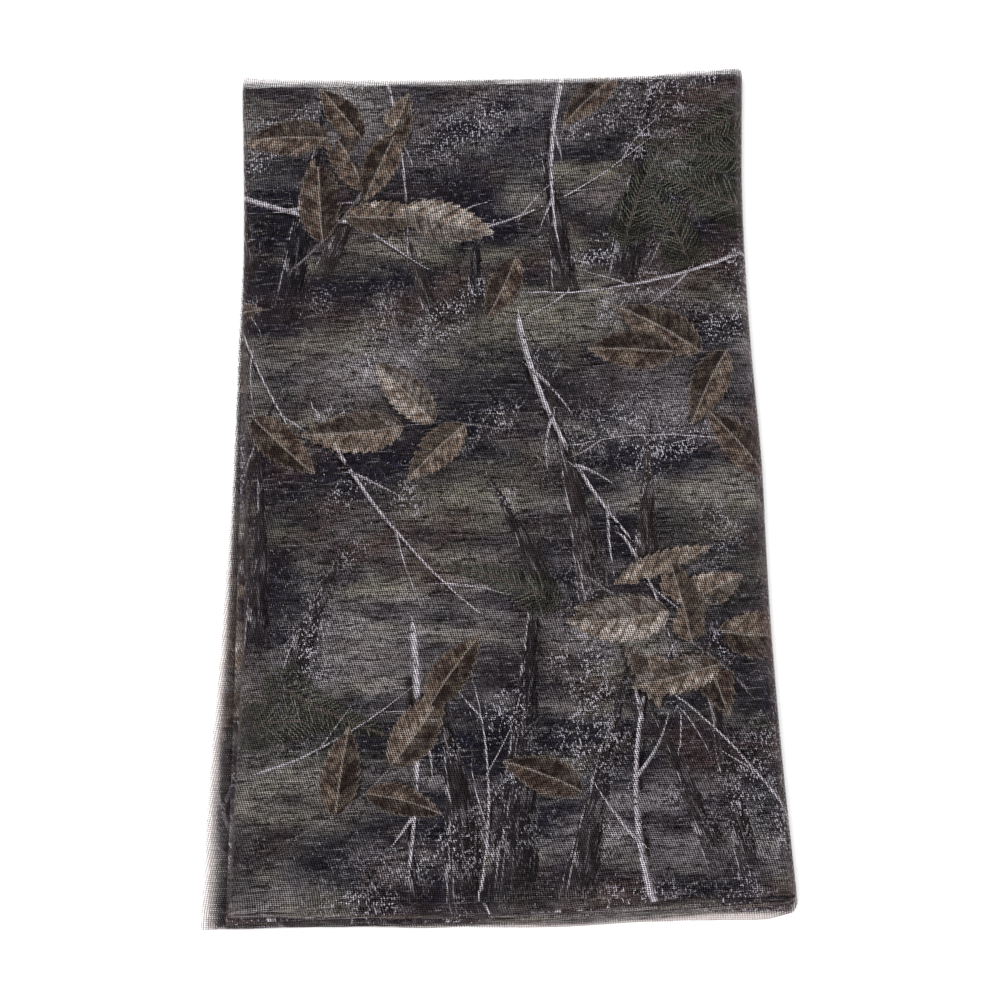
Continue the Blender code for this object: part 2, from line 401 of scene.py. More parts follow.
# Soft patches of haze and shade. Each row adds its colour with its strength at its middle.
COAL = (0.011, 0.011, 0.023)
TAUPE = (0.376, 0.342, 0.366)
OLIVE = (0.350, 0.330, 0.268)
UMBER = (0.138, 0.082, 0.070)
PINE = (0.043, 0.058, 0.046)
Patch = namedtuple("Patch", "x y direction half_length half_width colour strength")
PATCHES = (
    Patch(30.0, 640.0, 82.0, 110.0, 40.0, COAL, 0.85),
    Patch(190.0, 585.0, 100.0, 90.0, 34.0, COAL, 0.8),
    Patch(345.0, 640.0, 78.0, 120.0, 40.0, COAL, 0.85),
    Patch(300.0, 345.0, 100.0, 120.0, 42.0, COAL, 0.8),
    Patch(40.0, 300.0, 84.0, 110.0, 36.0, COAL, 0.8),
    Patch(235.0, 120.0, 76.0, 110.0, 40.0, COAL, 0.8),
    Patch(425.0, 130.0, 100.0, 110.0, 36.0, COAL, 0.75),
    Patch(120.0, 20.0, 10.0, 80.0, 30.0, COAL, 0.6),
    Patch(385.0, 0.0, 2.0, 40.0, 14.0, COAL, 0.9),
    Patch(560.0, 0.0, -2.0, 34.0, 12.0, COAL, 0.9),
    Patch(40.0, 2.0, 0.0, 30.0, 12.0, TAUPE, 0.8),
    Patch(250.0, 0.0, 0.0, 36.0, 12.0, OLIVE, 0.8),
    Patch(470.0, 2.0, 0.0, 32.0, 12.0, UMBER, 0.8),
    Patch(530.0, 420.0, 90.0, 190.0, 46.0, COAL, 0.8),
    Patch(170.0, 395.0, 62.0, 90.0, 34.0, COAL, 0.8),
    Patch(405.0, 470.0, 118.0, 80.0, 34.0, COAL, 0.8),
    Patch(262.0, 430.0, 15.0, 90.0, 36.0, COAL, 0.7),
    Patch(110.0, 535.0, 165.0, 70.0, 28.0, COAL, 0.6),
    Patch(105.0, 455.0, 3.0, 80.0, 34.0, TAUPE, 0.8),
    Patch(395.0, 415.0, -6.0, 70.0, 30.0, TAUPE, 0.7),
    Patch(130.0, 215.0, 4.0, 70.0, 40.0, TAUPE, 0.8),
    Patch(335.0, 60.0, 0.0, 90.0, 34.0, TAUPE, 0.8),
    Patch(265.0, 700.0, 6.0, 70.0, 30.0, TAUPE, 0.7),
    Patch(110.0, 690.0, -5.0, 60.0, 34.0, TAUPE, 0.6),
    Patch(50.0, 95.0, 6.0, 70.0, 34.0, OLIVE, 0.75),
    Patch(205.0, 330.0, -2.0, 50.0, 36.0, OLIVE, 0.7),
    Patch(430.0, 300.0, 6.0, 50.0, 44.0, OLIVE, 0.8),
    Patch(275.0, 490.0, 2.0, 70.0, 30.0, OLIVE, 0.75),
    Patch(330.0, 190.0, 0.0, 50.0, 28.0, OLIVE, 0.6),
    Patch(395.0, 535.0, 12.0, 60.0, 26.0, UMBER, 0.7),
    Patch(110.0, 305.0, -14.0, 60.0, 26.0, UMBER, 0.7),
    Patch(420.0, 720.0, 20.0, 60.0, 34.0, UMBER, 0.6),
    Patch(420.0, 640.0, 30.0, 60.0, 60.0, PINE, 0.7),
    Patch(70.0, 140.0, -10.0, 50.0, 40.0, PINE, 0.5),
    Patch(560.0, 150.0, 0.0, 80.0, 60.0, TAUPE, 0.7),
    Patch(560.0, 660.0, 0.0, 60.0, 40.0, OLIVE, 0.7),
)

# Where the print is strewn with pale frosty flecks
Fleck = namedtuple("Fleck", "x y direction half_length half_width strength")
FLECKS = (
    Fleck(210.0, 690.0, 30.0, 60.0, 26.0, 1.0),
    Fleck(120.0, 480.0, 70.0, 50.0, 18.0, 0.9),
    Fleck(395.0, 640.0, 80.0, 70.0, 24.0, 0.8),
    Fleck(330.0, 400.0, 20.0, 60.0, 22.0, 0.9),
    Fleck(60.0, 200.0, 80.0, 70.0, 20.0, 1.0),
    Fleck(300.0, 180.0, 95.0, 90.0, 22.0, 1.0),
    Fleck(430.0, 90.0, 60.0, 60.0, 24.0, 0.9),
    Fleck(180.0, 40.0, 10.0, 80.0, 16.0, 0.9),
    Fleck(540.0, 330.0, 90.0, 120.0, 30.0, 0.8),
    Fleck(100.0, 4.0, 0.0, 34.0, 8.0, 1.0),
    Fleck(335.0, 4.0, 0.0, 40.0, 8.0, 1.0),
    Fleck(525.0, 4.0, 0.0, 30.0, 8.0, 1.0),
)

# Clumps of dark rushes: blades that rise from one foot and fan out
Clump = namedtuple("Clump", "x y direction fan blades length width")
CLUMPS = (
    Clump(232.0, -25.0, 82.0, 8.0, 3, 330.0, 40.0),
    Clump(430.0, 10.0, 100.0, 7.0, 3, 270.0, 26.0),
    Clump(18.0, 190.0, 84.0, 8.0, 3, 260.0, 28.0),
    Clump(312.0, 235.0, 99.0, 8.0, 3, 250.0, 32.0),
    Clump(40.0, 520.0, 80.0, 9.0, 3, 250.0, 30.0),
    Clump(335.0, 520.0, 79.0, 9.0, 3, 270.0, 34.0),
    Clump(198.0, 480.0, 103.0, 6.0, 2, 200.0, 24.0),
    Clump(150.0, -20.0, 108.0, 8.0, 2, 170.0, 16.0),
    Clump(530.0, 220.0, 90.0, 9.0, 4, 380.0, 34.0),
)

# Pine sprays: a twig with needles on both sides
Spray = namedtuple("Spray", "x y direction turn length span")
SPRAYS = (
    Spray(455.0, 600.0, 150.0, 20.0, 120.0, 25.0),
    Spray(470.0, 655.0, 185.0, -24.0, 110.0, 24.0),
    Spray(400.0, 560.0, 110.0, 18.0, 100.0, 22.0),
    Spray(465.0, 700.0, 205.0, 18.0, 90.0, 20.0),
    Spray(352.0, 585.0, 75.0, -18.0, 90.0, 20.0),
    Spray(20.0, 150.0, 10.0, -25.0, 100.0, 22.0),
    Spray(45.0, 180.0, -35.0, 15.0, 90.0, 20.0),
    Spray(260.0, 250.0, 150.0, 20.0, 80.0, 18.0),
    Spray(520.0, 560.0, 30.0, 20.0, 120.0, 26.0),
    Spray(500.0, 90.0, 60.0, -20.0, 120.0, 26.0),
)

# Pale grass stems, with thinner shoots on them
Stem = namedtuple("Stem", "x y direction turn length width shoots tone")
STEMS = (
    Stem(-20.0, 640.0, -28.0, 34.0, 250.0, 5.6, 3, 1.0),
    Stem(205.0, 585.0, 12.0, 30.0, 190.0, 2.6, 3, 0.9),
    Stem(130.0, 750.0, -75.0, -16.0, 190.0, 3.4, 2, 0.8),
    Stem(296.0, 745.0, -104.0, 22.0, 170.0, 6.4, 2, 1.0),
    Stem(455.0, 560.0, 205.0, -30.0, 200.0, 4.0, 3, 0.9),
    Stem(250.0, 500.0, -82.0, 30.0, 220.0, 6.2, 4, 1.0),
    Stem(330.0, 300.0, -58.0, -38.0, 190.0, 3.0, 3, 0.9),
    Stem(70.0, 420.0, -66.0, 26.0, 230.0, 4.2, 3, 0.9),
    Stem(150.0, 225.0, -84.0, -14.0, 200.0, 7.6, 2, 1.0),
    Stem(205.0, 10.0, 78.0, 26.0, 170.0, 3.0, 3, 0.9),
    Stem(345.0, -10.0, 104.0, -30.0, 190.0, 7.2, 3, 1.0),
    Stem(460.0, 60.0, 122.0, 24.0, 170.0, 3.0, 3, 0.8),
    Stem(20.0, 110.0, 14.0, 26.0, 150.0, 2.6, 2, 0.8),
    Stem(440.0, 380.0, 168.0, 22.0, 150.0, 2.4, 3, 0.8),
    Stem(500.0, 250.0, 70.0, 30.0, 220.0, 3.2, 3, 0.9),
    Stem(590.0, 600.0, -80.0, 20.0, 230.0, 3.4, 3, 0.9),
)

# Beech twigs, with leaves set alternately on their two sides and one at the tip
Twig = namedtuple("Twig", "x y direction turn length leaves leaf_length tone")
TWIGS = (
    Twig(55.0, 560.0, 40.0, 26.0, 120.0, 4, 88.0, 0.35),
    Twig(170.0, 690.0, 200.0, -30.0, 90.0, 3, 78.0, 0.2),
    Twig(300.0, 265.0, -40.0, 30.0, 120.0, 5, 90.0, 0.5),
    Twig(430.0, 165.0, 130.0, 24.0, 90.0, 3, 82.0, 0.3),
    Twig(225.0, 400.0, 165.0, 24.0, 80.0, 3, 80.0, 0.75),
    Twig(60.0, 60.0, 20.0, 30.0, 90.0, 3, 76.0, 0.25),
    Twig(455.0, 470.0, 195.0, -20.0, 70.0, 3, 78.0, 0.15),
    Twig(520.0, 480.0, 40.0, 20.0, 90.0, 4, 80.0, 0.5),
    Twig(560.0, 120.0, 100.0, 24.0, 80.0, 4, 76.0, 0.3),
)

# Leaves that lie by themselves
Leaf = namedtuple("Leaf", "x y direction length width bend tone")
LOOSE_LEAVES = (
    Leaf(150.0, 610.0, -24.0, 84.0, 40.0, 0.10, 0.95),
    Leaf(368.0, 232.0, 190.0, 86.0, 42.0, -0.12, 0.9),
    Leaf(290.0, 85.0, 150.0, 70.0, 32.0, 0.12, 0.1),
    Leaf(14.0, 420.0, -50.0, 76.0, 34.0, 0.08, 0.2),
    Leaf(345.0, 735.0, 215.0, 70.0, 30.0, 0.15, 0.3),
    Leaf(165.0, 160.0, 60.0, 72.0, 32.0, -0.10, 0.15),
    Leaf(455.0, 350.0, 120.0, 74.0, 34.0, 0.12, 0.2),
    Leaf(250.0, 560.0, 250.0, 66.0, 30.0, -0.1, 0.15),
)


def wrapped(distance, repeat):
    """The way to the nearest repeat of a place in the print."""
    return (distance + 0.5 * repeat) % repeat - 0.5 * repeat


def turned(start_x, start_y, direction, x, y):
    """A place's distance along and to the left of a line that starts in a direction."""
    angle = math.radians(direction)
    off_x, off_y = wrapped(x - start_x, REPEAT_X), wrapped(y - start_y, REPEAT_Y)
    return (
        off_x * math.cos(angle) + off_y * math.sin(angle),
        off_y * math.cos(angle) - off_x * math.sin(angle),
    )


def haze(x, y, wide, high, seed):
    """Cloudy unevenness, mostly from -1 to 1, which repeats with the print."""
    chance = np.random.default_rng(seed)
    waves = 26
    total = np.zeros_like(x)
    for _ in range(waves):
        turns_x = round(chance.normal(0.0, 0.4) * REPEAT_X / wide)
        turns_y = round(chance.normal(0.0, 0.4) * REPEAT_Y / high)
        turns = turns_x * x / REPEAT_X + turns_y * y / REPEAT_Y + chance.uniform()
        total += np.cos(2.0 * math.pi * turns)
    return total / (0.5 * waves) ** 0.5


def arc_ends(start_x, start_y, direction, turn, length, share):
    """The place and heading at a share of the way along a bent line."""
    bend = math.radians(turn) * share
    heading = math.radians(direction)
    chord = length * share * (math.sin(0.5 * bend) / (0.5 * bend) if abs(bend) > 1e-6 else 1.0)
    return (
        start_x + chord * math.cos(heading + 0.5 * bend),
        start_y + chord * math.sin(heading + 0.5 * bend),
        direction + turn * share,
    )


def along_arc(x, y, start_x, start_y, direction, turn, length):
    """How far along a bent line a place lies, and how far to its left."""
    middle_x, middle_y, heading = arc_ends(start_x, start_y, direction, turn, length, 0.5)
    ahead, left = turned(middle_x, middle_y, heading, x, y)
    radius = length / math.radians(turn if abs(turn) > 0.5 else 0.5)
    to_centre = np.hypot(ahead, radius - left)
    distance = abs(radius) * np.arctan2(ahead, abs(radius) - left * np.sign(radius))
    return distance + 0.5 * length, (abs(radius) - to_centre) * np.sign(radius)


def soft_patch(row, x, y):
    ahead, left = turned(row.x, row.y, row.direction, x, y)
    return np.exp(-((ahead / row.half_length) ** 2) - (left / row.half_width) ** 2)


# The clouds that each quality of the haze is summed from, with their strength, width, height and seed
Cloud = namedtuple("Cloud", "strength wide high seed")
BRIGHTNESS = (Cloud(0.30, 150.0, 40.0, 11), Cloud(0.24, 70.0, 16.0, 12), Cloud(0.14, 30.0, 14.0, 13))
GREENNESS = (Cloud(0.3, 160.0, 120.0, 14), Cloud(0.3, 50.0, 32.0, 18))
WARMTH = (Cloud(0.3, 110.0, 60.0, 15), Cloud(0.3, 40.0, 26.0, 19))
RAGGEDNESS = (Cloud(0.5, 60.0, 20.0, 16),)
FROSTINESS = (Cloud(1.0, 60.0, 50.0, 17),)
DARKEST_HAZE = 1.5
MOST_UMBER = 0.65

cloth = np.stack((cloth_x, cloth_y), -1).reshape(-1, 2)
print_x, print_y = cloth[:, 0], cloth[:, 1]


def clouded(usual, clouds, lowest, highest):
    """A quality of the print at each point: its usual value with its clouds, kept within limits."""
    total = usual
    for cloud in clouds:
        total = total + cloud.strength * haze(print_x, print_y, cloud.wide, cloud.high, cloud.seed)
    return np.clip(total, lowest, highest)


brightness = clouded(0.40, BRIGHTNESS, 0.0, 1.1)[:, None] ** 2.0
greenness = clouded(0.58, GREENNESS, 0.0, 1.0)[:, None]
warmth = clouded(0.05, WARMTH, 0.0, 1.0)[:, None]
ragged = clouded(0.75, RAGGEDNESS, 0.1, 1.3)
hazy = between(np.array(TAUPE), np.array(OLIVE), greenness)
ground = between(np.array(COAL) * DARKEST_HAZE, hazy, brightness)
ground = between(ground, np.array(UMBER), MOST_UMBER * warmth)
for row in PATCHES:
    share = np.clip(row.strength * soft_patch(row, print_x, print_y) * ragged, 0.0, 1.0)
    ground = between(ground, np.array(row.colour), share[:, None])
flecked = np.zeros_like(print_x)
for row in FLECKS:
    flecked = np.maximum(flecked, row.strength * soft_patch(row, print_x, print_y))
flecked = np.maximum(flecked, clouded(-0.75, FROSTINESS, 0.0, 0.85))

blades, sprays, stems, leaves = [], [], [], []
chance = np.random.default_rng(21)
Line = namedtuple("Line", "x y direction turn length width tip tone")
for row in CLUMPS:
    for number in range(row.blades):
        place = 2.0 * number / (row.blades - 1) - 1.0
        blades.append(
            Line(
                row.x + place * (0.35 * row.blades) * row.width + chance.normal(0.0, 3.0),
                row.y + chance.uniform(-20.0, 20.0),
                row.direction - place * row.fan + chance.normal(0.0, 1.5),
                -place * row.fan * 1.2 + chance.normal(0.0, 5.0),
                row.length * (1.0 - 0.3 * place**2) * chance.uniform(0.75, 1.0),
                row.width * chance.uniform(0.7, 1.1),
                1.0,
                chance.uniform(0.0, 1.0),
            )
        )
order_of_blades = chance.permutation(len(blades))
blades = [blades[number] for number in order_of_blades]
for row in SPRAYS:
    sprays.append(
        Line(row.x, row.y, row.direction, row.turn, row.length, 2.0 * row.span, 8.0, chance.uniform())
    )
for row in STEMS:
    stems.append(
        Line(row.x, row.y, row.direction, row.turn, row.length, row.width, 0.35 * row.width, row.tone)
    )
    for number in range(row.shoots):
        share = (number + 1.0) / (row.shoots + 0.6)
        shoot_x, shoot_y, heading = arc_ends(row.x, row.y, row.direction, row.turn, row.length, share)
        lean = (1.0 if number % 2 == 0 else -1.0) * chance.uniform(24.0, 44.0)
        stems.append(
            Line(
                shoot_x, shoot_y, heading + lean, -0.5 * lean + chance.normal(0.0, 8.0),
                row.length * chance.uniform(0.14, 0.34), 0.6 * row.width, 0.6, 0.8 * row.tone,
            )
        )
for row in TWIGS:
    stems.append(Line(row.x, row.y, row.direction, row.turn, row.length, 2.6, 1.4, 0.25))
    for number in range(row.leaves):
        share = (number + 1.0) / row.leaves
        leaf_x, leaf_y, heading = arc_ends(row.x, row.y, row.direction, row.turn, row.length, share)
        last = number == row.leaves - 1
        lean = 0.0 if last else (1.0 if number % 2 == 0 else -1.0) * chance.uniform(38.0, 60.0)
        length = row.leaf_length * chance.uniform(0.82, 1.12)
        leaves.append(
            Leaf(
                leaf_x, leaf_y, heading + lean, length, length * chance.uniform(0.4, 0.5),
                chance.normal(0.0, 0.1), min(max(row.tone + chance.normal(0.0, 0.22), 0.0), 1.0),
            )
        )
leaves += list(LOOSE_LEAVES)

face_x, face_y = cloth_x.ravel()[faces], cloth_y.ravel()[faces]
middle_x, middle_y = face_x.mean(1), face_y.mean(1)
half_diagonal = 0.5 * np.hypot(np.ptp(face_x, axis=1), np.ptp(face_y, axis=1))


# A place that is on no motif, and how far the shade around each kind of motif reaches, in millimetres
FAR_AWAY = (-9.0, 99.0, 0.0, 0.0)
RUSH_SHADE = 7.0
NEEDLE_SPREAD = 1.0
STEM_SHADE = 6.0
LEAF_SHADE = 6.0


class Laid:
    """The motifs of one kind, laid over each other. Each face holds the two topmost that touch it."""

    def __init__(self):
        self.over = np.tile(FAR_AWAY, (len(faces), 4, 1))
        self.under = self.over.copy()

    def lay(self, touched, values):
        self.under[touched] = self.over[touched]
        self.over[touched] = values

    def add_line(self, line, margin):
        mid_x, mid_y, heading = arc_ends(*line[:5], 0.5)
        ahead, left = turned(mid_x, mid_y, heading, middle_x, middle_y)
        reach = 0.5 * line.length + 0.5 * line.width + margin
        near = np.flatnonzero(np.hypot(ahead, left) < reach + half_diagonal)
        ahead, left = along_arc(middle_x[near], middle_y[near], *line[:5])
        width = 0.5 * between(line.width, line.tip, np.clip(ahead / line.length, 0.0, 1.0))
        past = np.maximum(np.maximum(-ahead, ahead - line.length), 0.0)
        near = near[np.hypot(past, left) < width + margin + half_diagonal[near]]
        ahead, left = along_arc(face_x[near], face_y[near], *line[:5])
        width = 0.5 * between(line.width, line.tip, np.clip(ahead / line.length, 0.0, 1.0))
        past = np.maximum(np.maximum(-ahead, ahead - line.length), 0.0)
        left = np.hypot(past, left) * np.where(left < 0.0, -1.0, 1.0)
        self.lay(near, np.stack((ahead, left, width, np.full_like(left, line.tone)), -1))

    def add_leaf(self, leaf, margin):
        ahead, left = turned(leaf.x, leaf.y, leaf.direction, middle_x, middle_y)
        grown = margin + half_diagonal
        near = np.flatnonzero(
            (ahead > -grown) & (ahead < leaf.length + grown) & (np.abs(left) < leaf.width + grown)
        )
        ahead, left = turned(leaf.x, leaf.y, leaf.direction, face_x[near], face_y[near])
        share = ahead / leaf.length
        left = left - leaf.bend * leaf.length * share**2
        side = left / (0.5 * leaf.width)
        grown = (margin + half_diagonal[near])[:, None]
        touches = (
            (np.abs(left) < 0.5 * leaf.width + grown) & (ahead > -grown) & (ahead < leaf.length + grown)
        ).any(1)
        values = np.stack((share, side, np.full_like(side, leaf.length), np.full_like(side, leaf.tone)), -1)
        self.lay(near[touches], values[touches])


laid = {"rush": Laid(), "pine": Laid(), "stem": Laid(), "leaf": Laid()}
for line in blades:
    laid["rush"].add_line(line, RUSH_SHADE)
for line in sprays:
    laid["pine"].add_line(line, NEEDLE_SPREAD)
for line in stems:
    laid["stem"].add_line(line, STEM_SHADE)
for leaf in leaves:
    laid["leaf"].add_leaf(leaf, LEAF_SHADE)

for name, kind in laid.items():
    for depth, values in (("over", kind.over), ("under", kind.under)):
        place = mesh.attributes.new(f"{name}_{depth}", "FLOAT_VECTOR", "CORNER")
        place.data.foreach_set("vector", values[:, :, :3].astype(np.float32).ravel())
        tone = mesh.attributes.new(f"{name}_{depth}_tone", "FLOAT", "CORNER")
        tone.data.foreach_set("value", values[:, :, 3].astype(np.float32).ravel())
colours = mesh.attributes.new("ground", "FLOAT_VECTOR", "POINT")
colours.data.foreach_set("vector", ground.astype(np.float32).ravel())
frost = mesh.attributes.new("flecked", "FLOAT", "POINT")
frost.data.foreach_set("value", flecked.astype(np.float32))
rim = mesh.attributes.new("from_edge", "FLOAT_VECTOR", "POINT")
rim.data.foreach_set(
    "vector", np.stack((to_cut, to_selvage, 0.0 * to_cut), -1).astype(np.float32).ravel()
)

# Where the knit lies: its wales lean, the more so near the fold, and its lines waver a little.
LEAN_AT_FOLD = 0.31
LEAN_LOST = 0.000115
LEAN_BEGINS = 18.0
from_fold = np.hypot(print_y, LEAN_BEGINS) - LEAN_BEGINS
lean = np.sign(print_y) * (LEAN_AT_FOLD * from_fold - LEAN_LOST * from_fold**2)
waver_x = 1.5 * haze(print_x, print_y, 300.0, 200.0, 31) + 0.3 * haze(print_x, print_y, 60.0, 45.0, 32)
waver_y = 1.5 * haze(print_x, print_y, 200.0, 300.0, 33) + 0.3 * haze(print_x, print_y, 45.0, 60.0, 34)
knit = (cloth + np.stack((lean + waver_x, waver_y), -1)) * MM
uv = mesh.uv_layers.new(name="knit")
uv.data.foreach_set("uv", knit[faces.ravel()].astype(np.float32).ravel())
place = mesh.attributes.new("cloth", "FLOAT_VECTOR", "POINT")
place.data.foreach_set("vector", np.column_stack((cloth, 0.0 * print_x)).astype(np.float32).ravel())

# How far each point lies in the shade of the cloth above it. Flat plies let by more light than round
# yarns do, so what lies inside the pack gets painted shade, and so do the first ply beside the stack and
# the outsides of the folds. Where the lowest layer alone lies on the pale table, its yarns get painted
# light, paler as if the table shone through them.
SHADE_UNDER_OWN_PLY = 0.6
BESIDE_STACK_SHADE = 0.95
BESIDE_SHADE_LOST = 0.02
FOLD_OUTSIDE_SHADE = 0.5
UNDERSIDE_BEGINS = 60.0
panels = np.array([column.panel for column in columns])


def inside_panel(number):
    """How far inside a panel's outline each point lies, seen from above, in millimetres."""
    own = np.flatnonzero(panels == number)
    leftmost, rightmost = x[:, own].min(1)[:, None], x[:, own].max(1)[:, None]
    layer = LAYERS[number - 1]
    across = (x - leftmost) / (rightmost - leftmost)
    from_near = y + HALF_LENGTH - through(layer.near, across)
    from_far = HALF_LENGTH - through(layer.far, across) - y
    return np.minimum(np.minimum(x - leftmost, rightmost - x), np.minimum(from_near, from_far))


shaded = np.zeros_like(x)
for layer in LAYERS:
    own = panels == layer.panel
    for above in LAYERS:
        if above.level > layer.level:
            deep = np.clip((inside_panel(above.panel) + 1.0) / 3.0, 0.0, 1.0)
            shaded = np.where(own, np.maximum(shaded, deep), shaded)
    underneath = is_second[:, None] if layer.panel % 2 == 1 else ~is_second[:, None]
    under_own = {TOP_PANEL: 1.0, LOWEST_PANEL: 0.0}.get(layer.panel, SHADE_UNDER_OWN_PLY)
    shaded = np.where(own & underneath, np.maximum(shaded, under_own), shaded)
inside_top = inside_panel(TOP_PANEL)
in_folds = np.clip((inside_top + 3.0) / 4.0, 0.0, 1.0)
shaded = np.where(panels == 0, in_folds, shaded)
beyond_top = (panels == TOP_PANEL) & is_second[:, None] & (inside_top < 0.0)
underside = (panels == LOWEST_PANEL) & ~is_second[:, None] & (to_cut > UNDERSIDE_BEGINS)
shaded = np.where(beyond_top | underside, 0.0, shaded)
# Painted shade on the upper cut end's first ply beside the stack, weaker further from it, and on the
# outsides of the folds and the near turn.
beside = (panels == UPPER_CUT_PANEL) & ~is_second[:, None] & (inside_top < 0.0) & (x < 0.0)
shaded = np.maximum(shaded, beside * np.clip(1.0 - BESIDE_SHADE_LOST * np.abs(inside_top), 0.0, BESIDE_STACK_SHADE))
rounding = np.maximum(np.abs(slope_z) / steepness, np.sin(near_turn)[:, None])
shaded = np.maximum(shaded, FOLD_OUTSIDE_SHADE * np.clip(rounding, 0.0, 1.0) ** 0.5 * (rounding > 0.05))
# Painted light: where the lowest layer lies alone on the table, its yarns are painted paler.
alone = (panels == LOWEST_PANEL) * np.clip(-inside_panel(UPPER_CUT_PANEL) / 2.0, 0.0, 1.0)
lit_from_table = mesh.attributes.new("lit_from_table", "FLOAT", "POINT")
lit_from_table.data.foreach_set("value", alone.astype(np.float32).ravel())
dimness = mesh.attributes.new("shaded", "FLOAT", "POINT")
dimness.data.foreach_set("value", shaded.astype(np.float32).ravel())

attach(net, "root")
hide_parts("net_sheet")

# The dyed mesh. The print fills the threads, each thread takes the dye a little differently, and the
# back of the cloth shows it weaker and pinker. Painted shade darkens the yarns inside the pack, and
# painted light pales the lowest layer where it lies alone on the table.
WALE_PITCH = 1.98
COURSE_PITCH = 1.56
WALE_WIDTH = 0.26
COURSE_WIDTH = 0.22
FRAYED = 2.6
THROUGH_YARN = 0.33
SHADE_INSIDE = 0.90
BACK_SHOWS = 0.4
TABLE_LIGHT_SHARE = 0.55

# The dyes
HAZE_STREAK = (0.36, 0.33, 0.33)
PALE_BENT = (0.42, 0.39, 0.42)
RUSH_DARK = (0.014, 0.013, 0.019)
RUSH_BROWN = (0.050, 0.038, 0.037)
RUSH_WORN = (0.62, 0.57, 0.62)
NEEDLE_DARK = (0.040, 0.050, 0.033)
NEEDLE_LIGHT = (0.20, 0.215, 0.150)
PINE_TWIG = (0.14, 0.11, 0.10)
FROST = (0.72, 0.68, 0.76)
STALK_DARK = (0.115, 0.088, 0.095)
STALK_LIT = (0.92, 0.86, 0.95)
LEAF_RUST = (0.084, 0.053, 0.043)
LEAF_TAN = (0.315, 0.237, 0.190)
LEAF_PALE = (0.70, 0.61, 0.56)
LEAF_RIM = (0.52, 0.43, 0.38)
LEAF_RIB = (0.58, 0.50, 0.45)
CLOTH_BACK = (0.46, 0.36, 0.36)
TABLE_LIGHT_TINT = (0.75, 0.66, 0.64)
GLOW = (0.79, 0.635, 0.635)

net_paint = bpy.data.materials.new("printed_mesh")
net_paint.use_nodes = True
net_nodes = net_paint.node_tree
threads = net_nodes.nodes["Principled BSDF"]


def added(kind, inputs, **settings):
    """A new node, with its settings and with a number or another node's output in each input."""
    made = net_nodes.nodes.new(kind)
    for name, value in settings.items():
        setattr(made, name, value)
    for name, value in inputs.items():
        if isinstance(value, bpy.types.NodeSocket):
            net_nodes.links.new(value, made.inputs[name])
        else:
            made.inputs[name].default_value = value
    return made


def maths(operation, *values):
    return added("ShaderNodeMath", dict(enumerate(values)), operation=operation).outputs[0]


def product(*factors):
    total = factors[0]
    for factor in factors[1:]:
        total = maths("MULTIPLY", total, factor)
    return total


def rising(value, low, high):
    """0 below low and 1 above high, with a soft step between them. It falls where high is below low."""
    inputs = {"Value": value, "From Min": low, "From Max": high}
    return added("ShaderNodeMapRange", inputs, interpolation_type="SMOOTHSTEP").outputs["Result"]


def mixed(share, first, second):
    """A colour between two colours."""
    first = first if isinstance(first, bpy.types.NodeSocket) else (*first, 1.0)
    second = second if isinstance(second, bpy.types.NodeSocket) else (*second, 1.0)
    return added("ShaderNodeMix", {0: share, 6: first, 7: second}, data_type="RGBA").outputs[2]


def scaled(colour, amount):
    """A colour made darker or lighter."""
    return added("ShaderNodeVectorMath", {0: colour, "Scale": amount}, operation="SCALE").outputs[0]


def darkened(colour, where, depth):
    return scaled(colour, maths("SUBTRACT", 1.0, product(where, depth)))


def parts(vector):
    return added("ShaderNodeSeparateXYZ", {0: vector}).outputs


def channels(colour):
    return added("ShaderNodeSeparateColor", {0: colour}).outputs


def chance_for(number):
    """A random number from 0 to 1, which is the same wherever its number is the same."""
    return added("ShaderNodeTexWhiteNoise", {"W": number}, noise_dimensions="1D").outputs[0]


def either(share, first, second):
    return added("ShaderNodeMix", {0: share, 2: first, 3: second}, data_type="FLOAT").outputs[0]


def speckle(place_x, place_y, size_x, size_y, detail):
    """Cloudy unevenness of the dye, in three channels, with spots of about the given size."""
    inputs = {"X": maths("DIVIDE", place_x, size_x), "Y": maths("DIVIDE", place_y, size_y)}
    place = added("ShaderNodeCombineXYZ", inputs).outputs[0]
    inputs = {"Vector": place, "Scale": 1.0, "Detail": detail, "Roughness": 0.6}
    cloud = added("ShaderNodeTexNoise", inputs, noise_dimensions="2D")
    return channels(cloud.outputs["Color"])


def stored(name, output):
    return added("ShaderNodeAttribute", {}, attribute_name=name).outputs[output]


class Motif:
    """One kind of motif: where it covers the cloth, and the place and tone of the one on top."""

    def __init__(self, name, covers):
        over, under = stored(f"{name}_over", "Vector"), stored(f"{name}_under", "Vector")
        on_top, below = covers(*parts(over)), covers(*parts(under))
        picked = added("ShaderNodeMix", {0: on_top, 4: under, 5: over}, data_type="VECTOR").outputs[1]
        self.ahead, self.left, self.size = parts(picked)
        over_tone, under_tone = stored(f"{name}_over_tone", "Fac"), stored(f"{name}_under_tone", "Fac")
        self.tone = either(on_top, under_tone, over_tone)
        self.cover = maths("MAXIMUM", on_top, below)


length_place, width_place, _ = parts(stored("cloth", "Vector"))
grain_a, grain_b, grain_c = speckle(length_place, width_place, 2.3, 3.0, 1.0)
blotch_a, blotch_b, blotch_c = speckle(length_place, width_place, 13.0, 13.0, 2.0)
streak_a, streak_b, streak_c = speckle(length_place, width_place, 24.0, 2.4, 2.0)

